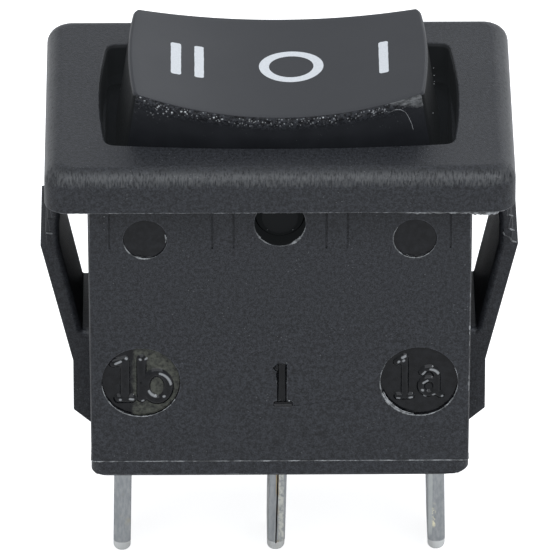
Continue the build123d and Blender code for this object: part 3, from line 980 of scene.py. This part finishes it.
rocker = {
    "length": 13.22, "shift": -0.04, "width": 9.36, "endBulge": 0.26, "sideBulge": 0.62, "corner": 0.35,
    "flare": 8.5, "low": 3.31, "top": 4.91, "skirt": 0.3, "hollow": 23.5,
    "cap": 1.1, "wall": 0.9, "sideEdge": 0.022, "endEdge": 0.16,
    # how far an outward normal leans to X: where the wider round starts and is full, and the matt black of the
    # painted shade starts
    "leanFrom": 0.35, "leanSpan": 0.5, "paintedShadeFrom": 0.55,
    "pivot": -1.17, "cheekIn": 2.88, "cheek": 1.44, "cheekRadius": 1.9, "cheekRoot": 7.2, "cheekStep": 0.6,
    "pin": 1.08, "pinEnd": 5.75, "pinChamfer": 0.28,
    "sleeve": 1.9, "sleeveLow": -4.6, "bore": 1.1, "boreTop": 1.9,
}


def hollowZ(x):
    return rocker["low"] + rocker["hollow"] - sqrt(rocker["hollow"] ** 2 - x * x)


def bowRadius(half, bulge):
    # of an arc that bulges over twice the half length
    return (half ** 2 + bulge ** 2) / (2 * bulge)


def bowedLoop(length, width, endBulge, sideBulge, corner, lean=0.0):
    # plan outline of a rectangle with bowed sides, anticlockwise from the middle of the front
    halfSide = length / 2 - endBulge
    halfEnd = width / 2 - sideBulge
    sideR = bowRadius(halfSide, sideBulge)
    endR = bowRadius(halfEnd, endBulge)
    sideC = Vector((0, sideR - width / 2))
    endC = Vector((length / 2 + lean - endR, 0))
    # centre of the corner round: inside both arcs by its own radius
    between = endC - sideC
    reach = between.length
    along = ((sideR - corner) ** 2 - (endR - corner) ** 2 + reach ** 2) / (2 * reach)
    across = sqrt((sideR - corner) ** 2 - along ** 2)
    direction = between.normalized()
    normal = Vector((direction.y, -direction.x))
    centre = sideC + direction * along + normal * across
    if centre.y > 0:
        centre = sideC + direction * along - normal * across
    onSide = sideC + (centre - sideC).normalized() * sideR
    onEnd = endC + (centre - endC).normalized() * endR

    def arc(middle, radius, start, end, count):
        first = atan2(start.y - middle.y, start.x - middle.x)
        last = atan2(end.y - middle.y, end.x - middle.x)
        return [middle + radius * Vector((cos(a), sin(a)))
                for a in [first + (last - first) * n / count for n in range(count)]]

    quarter = arc(sideC, sideR, Vector((0, -width / 2)), onSide, 26)
    quarter += arc(centre, corner, onSide, onEnd, 6)
    quarter += arc(endC, endR, onEnd, Vector((length / 2 + lean, 0)), 12)
    quarter.append(Vector((length / 2 + lean, 0)))
    loop = list(quarter)
    loop += [Vector((p.x, -p.y)) for p in reversed(quarter[:-1])]
    loop += [Vector((-p.x, -p.y)) for p in quarter[1:]]
    loop += [Vector((-p.x, p.y)) for p in reversed(quarter[1:-1])]
    return loop


def outwards(loop):
    count = len(loop)
    normals = []
    for n in range(count):
        step = loop[(n + 1) % count] - loop[n - 1]
        normals.append(Vector((step.y, -step.x)).normalized())
    return normals


def makeRockerCap():
    spec = rocker
    rise = (spec["top"] - spec["skirt"]) * tan(radians(spec["flare"]))
    shape = (spec["length"], spec["width"], spec["endBulge"], spec["sideBulge"], spec["corner"])
    shift = Vector((spec["shift"], 0))
    below = [p + shift for p in bowedLoop(*shape, lean=rise)]
    above = [p + shift for p in bowedLoop(*shape)]
    normals = outwards(above)
    count = len(above)

    def at(n, z):
        share = (z - spec["skirt"]) / (spec["top"] - spec["skirt"])
        return below[n].lerp(above[n], share)

    edges, rounds = [], []
    for n in range(count):
        z = spec["low"]
        # the wall's flare and the hollow top meet where this settles
        for _ in range(8):
            z = hollowZ(at(n, z).x)
        edges.append(z)
        share = clamp((abs(normals[n].x) - spec["leanFrom"]) / spec["leanSpan"])
        rounds.append(spec["sideEdge"] + (spec["endEdge"] - spec["sideEdge"]) * share)

    bm = bmesh.new()
    rings = []
    levels = 12
    for k in range(levels + 1):
        ring = []
        for n in range(count):
            z = spec["skirt"] + (edges[n] - rounds[n] - spec["skirt"]) * k / levels
            p = at(n, z)
            ring.append(bm.verts.new((p.x, p.y, z)))
        rings.append(ring)
    turns = 6
    for k in range(1, turns + 1):
        t = k / turns * pi / 2
        ring = []
        for n in range(count):
            r = rounds[n]
            p = at(n, edges[n]) - normals[n] * r * (1 - cos(t))
            ring.append(bm.verts.new((p.x, p.y, hollowZ(p.x) - r * (1 - sin(t)))))
        rings.append(ring)
    spokes = 16
    rim = [v.co.copy() for v in rings[-1]]
    for k in range(1, spokes):
        share = 1 - k / spokes
        rings.append([bm.verts.new((p.x * share, p.y * share, hollowZ(p.x * share))) for p in rim])
    for k in range(len(rings) - 1):
        bridge(bm, rings[k], rings[k + 1], 1 if k < levels else 0)
    for face in bm.faces:
        # the ends get the matt black of the painted shade
        if face.material_index == 1:
            face.normal_update()
            if abs(face.normal.x) > spec["paintedShadeFrom"]:
                face.material_index = 2
    middle = bm.verts.new((0, 0, hollowZ(0)))
    for n in range(count):
        bm.faces.new((rings[-1][n], rings[-1][(n + 1) % count], middle))

    # underside: rim, inner wall and flat ceiling
    wall = 2 * spec["wall"]
    ceiling = spec["low"] - spec["cap"]
    inner = bowedLoop(shape[0] - wall, shape[1] - wall, *shape[2:])
    low = [bm.verts.new((p.x + shift.x, p.y, spec["skirt"])) for p in inner]
    high = [bm.verts.new((p.x + shift.x, p.y, ceiling)) for p in inner]
    bridge(bm, low, rings[0], 1)
    bridge(bm, high, low, 1)
    top = bm.verts.new((0, 0, ceiling))
    for n in range(count):
        face = bm.faces.new((high[(n + 1) % count], high[n], top))
        face.material_index = 1
    return closed("rockerShell", bm, rockerSatin, rockerGloss, paintedShadeBlack)


def turned(profile, name, finish, along="Z"):
    # closed lathe shape from (radius, height) pairs that start and end on the axis
    count = 48
    bm = bmesh.new()
    rings = []
    for radius, height in profile:
        if radius == 0:
            rings.append([bm.verts.new((0, 0, height))])
        else:
            rings.append([bm.verts.new((radius * cos(a), radius * sin(a), height)) for a in fullTurn(count)])
    for lower, upper in zip(rings, rings[1:]):
        for n in range(count):
            m = (n + 1) % count
            corners = [lower[n % len(lower)], lower[m % len(lower)], upper[m % len(upper)], upper[n % len(upper)]]
            corners = [v for k, v in enumerate(corners) if v not in corners[:k]]
            bm.faces.new(corners)
    bmesh.ops.recalc_face_normals(bm, faces=bm.faces)
    if along == "Y":
        bm.transform(Matrix.Rotation(radians(-90), 4, "X"))
    return asObject(name, bm, finish)


def makeRocker():
    spec = rocker
    shell = makeRockerCap()
    for side in (-1, 1):
        root = spec["cheekRoot"] / 2
        high = spec["skirt"] + spec["cheekStep"]
        reach = Vector((root, spec["skirt"] - spec["pivot"]))
        # tangent from the corner of the root to the round end
        swing = atan2(reach.y, reach.x)
        opening = sqrt(reach.length_squared - spec["cheekRadius"] ** 2)
        angle = swing - atan2(opening, spec["cheekRadius"])
        steps = 28
        turns = [angle + (-pi - 2 * angle) * n / steps for n in range(steps + 1)]
        foot = [(spec["cheekRadius"] * cos(a), spec["pivot"] + spec["cheekRadius"] * sin(a)) for a in turns]
        outline = [(root, high), (root, spec["skirt"]), *foot, (-root, spec["skirt"]), (-root, high)]
        near, far = sorted((side * spec["cheekIn"], side * (spec["cheekIn"] + spec["cheek"])))
        shell = cut(shell, solidAlong(outline, near, far, "cheek", rockerGloss), "UNION")
        start = spec["cheekIn"] + 0.02
        # the trunnion gets the painted shade
        pin = turned([(0, start), (spec["pin"], start), (spec["pin"], spec["pinEnd"] - spec["pinChamfer"]),
                      (spec["pin"] - spec["pinChamfer"], spec["pinEnd"]), (0, spec["pinEnd"])],
                     "pin", paintedShadeBlack, along="Y")
        pin.data.transform(Matrix.Diagonal((1, side, 1, 1)))
        if side < 0:
            pin.data.flip_normals()
        pin.data.transform(Matrix.Translation((0, 0, spec["pivot"])))
        shell = cut(shell, pin, "UNION")
    root = spec["low"] - spec["cap"] + 0.05
    sleeve = turned([(0, spec["boreTop"]), (spec["bore"], spec["boreTop"]), (spec["bore"], spec["sleeveLow"]),
                     (spec["sleeve"], spec["sleeveLow"]), (spec["sleeve"], root), (0, root)], "sleeve", rockerGloss)
    return smooth(cut(shell, sleeve, "UNION"), 38)


finishPiece(makeRocker(), "rocker", "rocker_plastic", "rocker")


# printed marks on the rocker: II, O and I

legend = {
    "lift": 0.006, "thick": 0.02, "row": 0.1,
    "ring": {"x": 0.56, "outer": 1.45, "stroke": 0.45},
    "bars": [(-4.62, 0.46), (-3.58, 0.42), (4.71, 0.42)],
    "barLength": 2.95, "barCorner": 0.07,
}


def makeRing():
    spec = legend["ring"]
    bm = bmesh.new()
    count, rings = 96, []
    for radius in (spec["outer"], spec["outer"] - spec["stroke"] / 2, spec["outer"] - spec["stroke"]):
        ring = []
        for a in fullTurn(count):
            ragged = 0.006 * noise.noise((cos(a) * 9, sin(a) * 9, radius * 5))
            x = spec["x"] + (radius + ragged) * cos(a)
            ring.append(bm.verts.new((x, legend["row"] + (radius + ragged) * sin(a), hollowZ(x) + legend["lift"])))
        rings.append(ring)
    for lower, upper in zip(rings, rings[1:]):
        bridge(bm, lower, upper)
    return bm


def makeBar(bm, centre, wide):
    half, long, corner = wide / 2, legend["barLength"] / 2, legend["barCorner"]
    across, along = 6, 40
    grid = []
    for j in range(along + 1):
        v = -1 + 2 * j / along
        y = v * long
        near = max(abs(y) - (long - corner), 0)
        width = half - corner + sqrt(max(corner ** 2 - near ** 2, 0))
        row = []
        for i in range(across + 1):
            u = -1 + 2 * i / across
            ragged = 0.012 * noise.noise((centre, y * 4, 3 * u)) * abs(u)
            x = centre + u * width + ragged
            row.append(bm.verts.new((x, y + legend["row"], hollowZ(x) + legend["lift"])))
        grid.append(row)
    for j in range(along):
        for i in range(across):
            bm.faces.new((grid[j][i], grid[j][i + 1], grid[j + 1][i + 1], grid[j + 1][i]))


def makeLegend():
    bm = makeRing()
    for centre, wide in legend["bars"]:
        makeBar(bm, centre, wide)
    bmesh.ops.recalc_face_normals(bm, faces=bm.faces)
    for face in bm.faces:
        if face.normal.z < 0:
            face.normal_flip()
    piece = asObject("printedLegend", bm, whiteInk)
    ink = piece.modifiers.new("ink", "SOLIDIFY")
    ink.thickness = legend["thick"]
    ink.offset = -1
    return smooth(bake(piece), 40)


finishPiece(makeLegend(), "rocker", "rocker_plastic")


# a fibre that clings to the rocker's front

lint = {"path": [(4.93, 3.49), (5.15, 3.58), (5.4, 3.56), (5.62, 3.42), (5.77, 3.15), (5.88, 2.87), (5.96, 2.58)],
        "girth": 0.011, "stand": 0.02,
        "spots": [(-7.14, 2.0, 1.2), (-7.14, 0.6, 1.2), (-7.1, -1.2, 1.4), (7.0, 0.7, 2.1), (7.02, 1.1, 2.0),
                  (7.0, 1.5, 2.1), (7.03, 1.8, 1.95), (7.0, 2.2, 2.1), (6.84, -4.1, 3.2)]}


def sideY(x, z):
    # the rocker's front wall, bowed in plan and flared downwards
    radius = bowRadius(rocker["length"] / 2 - rocker["endBulge"], rocker["sideBulge"])
    spread = (rocker["top"] - z) * tan(radians(rocker["flare"]))
    return -(rocker["width"] / 2 - radius + sqrt(radius ** 2 - x * x)) - spread


def makeLintAndGlints():
    path = [(x, sideY(x, z) - lint["stand"], z, lint["girth"]) for x, z in lint["path"]]
    # and pale grains: two painted glints on the trunnion's end, and grains on the rocker's ends
    spots = [(x, -rocker["pinEnd"] - 0.01, -1.8) for x in (-0.57, 0.57)] + lint["spots"]
    grains = [[(x - 0.02, y, z, 0.016), (x + 0.03, y, z - 0.01, 0.016)] for x, y, z in spots]
    return threads("clingingFibreAndGlints", [path, *grains], flashAndGlintNylon, step=0.06, wander=0.004, ragged=0.2,
                   often=0.0, seed=2)


finishPiece(makeLintAndGlints(), "rocker", "rocker_plastic")


# terminals

blades = {
    "thick": 0.806, "wide": 4.806, "tip": -21.05, "cut": 1.05,
    "root": -14.27, "fullTo": -14.35,   # the blade leaves the base, and the tool starts to fit it
    "top": 3, "open": 5,                # the tool's upper end, which is clear of the blade all round
    "edge": 0.07, "coined": 0.38,       # corner rounds along the blade and at its tip
    "places": {"left": (-7.1, -0.12), "common": (0.0, -0.16), "right": (7.1, 0.12)},
}


def coinedTool(x, lean, finish):
    # a solid whose lower end has the blade's rounded outline; what stands outside it is pressed away
    spec = blades
    rings = []
    bm = bmesh.new()

    def section(z, halfX, halfY, corner, centre):
        rings.append([bm.verts.new((centre + across, along, z))
                      for across, along in roundedCorners(halfX, halfY, corner)])

    for z in (spec["top"], spec["fullTo"]):
        section(z, spec["open"], spec["open"], 0.1, x)
    steps = 40
    for n in range(steps + 1):
        z = spec["fullTo"] + (spec["tip"] + 0.001 - spec["fullTo"]) * (n / steps) ** 0.45
        share = (z - spec["root"]) / (spec["tip"] - spec["root"])
        cutIn = max(0, spec["tip"] + spec["cut"] - z)
        t = clamp((spec["tip"] + spec["cut"] + 0.25 - z) / 0.45)
        corner = spec["edge"] + (spec["coined"] - spec["edge"]) * t * t * (3 - 2 * t)
        section(z, spec["thick"] / 2, spec["wide"] / 2 - cutIn, corner, x + lean * share)
    for lower, upper in zip(rings, rings[1:]):
        bridge(bm, lower, upper)
    bm.faces.new(rings[0])
    bm.faces.new(list(reversed(rings[-1])))
    return closed("coinedTool", bm, finish)


for side, (x, lean) in blades["places"].items():
    blade = asObject(side + "Blade", weldedCopy(side + "_terminal"), tinned[side])
    blade = smooth(cut(blade, coinedTool(x, lean, tinned[side]), "INTERSECT"), 30)
    finishPiece(blade, "case", "tinned_brass", side + "_terminal")


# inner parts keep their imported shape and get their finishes

innerFinishes = {
    "plunger": naturalNylon("plungerNylon"),
    "plunger_spring": plainMetal("springWire", (0.48, 0.48, 0.49), (0.6, 0.6, 0.6), 0.25),
    "contact_strip": plainMetal("stripBrass", (0.62, 0.45, 0.2), (0.74, 0.57, 0.3), 0.3, (0.3, 4, 4)),
}
silver = plainMetal("contactSilver", (0.72, 0.72, 0.7), (0.84, 0.84, 0.82), 0.28)
for side in ("left", "right"):
    for kind in ("fixed", "moving"):
        innerFinishes[side + "_" + kind + "_contact"] = silver
for node, finish in innerFinishes.items():
    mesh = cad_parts[node].data
    mesh.materials.clear()
    mesh.materials.append(finish)
print("inner parts finished")


# studio

studio = {
    "floor": -21.05, "floorSize": 6.0, "floorGlow": 0.76, "floorMirror": 0.22,
    "surround": 0.5, "mirrored": 0.82, "tint": (0.955, 0.985, 1.03),
    "azimuth": -0.5, "elevation": 29.3, "distance": 468.0, "lower": 6.64, "right": 0.055, "lens": 666.96,
    # name, place, width, height, radiance
    "lamps": [
        ("frontBox", (0, -0.33, 0.37), 0.6, 0.34, 2.2),
        ("topBox", (0, 0.05, 0.5), 0.5, 0.3, 0.5),
        ("keyLamp", (0.27, -0.25, 0.42), 0.07, 0.07, 34),
        ("backBox", (0.22, 0.44, 0.27), 0.3, 0.2, 1.2),
    ],
}


def makeFloor():
    bm = bmesh.new()
    bmesh.ops.create_grid(bm, x_segments=1, y_segments=1, size=studio["floorSize"] / 2 / mm)
    bm.transform(Matrix.Translation((0, 0, studio["floor"])))
    tree = newFinish("paleFloor")
    seen, mirrored = tree.rays()
    level = seen * studio["floorGlow"] + (mirrored > 0.5) * studio["floorMirror"]
    matte = tree.add("ShaderNodeBsdfDiffuse", None, {"Color": (0.8, 0.8, 0.8, 1)})
    glow = tree.add("ShaderNodeEmission", None, {"Color": (1, 1, 1, 1), "Strength": level})
    both = tree.add("ShaderNodeAddShader", None, {0: matte, 1: glow})
    tree.add("ShaderNodeOutputMaterial", None, {"Surface": both})
    floor = toMetres(asObject("floor", bm, tree.owner))


def makeWorld():
    tree = emptyTree(bpy.data.worlds.new("studioWorld"))
    seen, mirrored = tree.rays()
    either = (seen + mirrored) > 0.5
    level = studio["surround"] + either * (studio["mirrored"] - studio["surround"])
    sky = tree.add("ShaderNodeBackground", None, {"Color": (*studio["tint"], 1), "Strength": level})
    tree.add("ShaderNodeOutputWorld", None, {"Surface": sky})
    scene.world = tree.owner


def softbox(name, place, width, height, radiance):
    # aimed at the origin, the middle of the bezel's underside
    lamp = bpy.data.lights.new(name, "AREA")
    lamp.shape = "RECTANGLE"
    lamp.size = width
    lamp.size_y = height
    lamp.energy = radiance * pi * width * height
    lamp.color = studio["tint"]
    holder = bpy.data.objects.new(name, lamp)
    holder.location = place
    holder.rotation_euler = (Vector() - Vector(place)).to_track_quat("-Z", "Y").to_euler()
    scene.collection.objects.link(holder)


def makeCamera():
    turn, lift = radians(studio["azimuth"]), radians(studio["elevation"])
    away = Vector((sin(turn) * cos(lift), -cos(turn) * cos(lift), sin(lift)))
    side = Vector((cos(turn), sin(turn), 0))
    up = side.cross(-away)
    camera = bpy.data.cameras.new("camera")
    camera.lens = studio["lens"]
    camera.sensor_width = 36
    camera.clip_start = 0.01
    camera.clip_end = 20
    holder = bpy.data.objects.new("camera", camera)
    holder.location = (away * studio["distance"] - up * studio["lower"] + side * studio["right"]) * mm
    holder.rotation_euler = (-away).to_track_quat("-Z", "Y").to_euler()
    scene.collection.objects.link(holder)
    scene.camera = holder


makeFloor()
makeWorld()
for lamp in studio["lamps"]:
    softbox(*lamp)
makeCamera()
scene.view_settings.view_transform = "Standard"
print("studio ready")
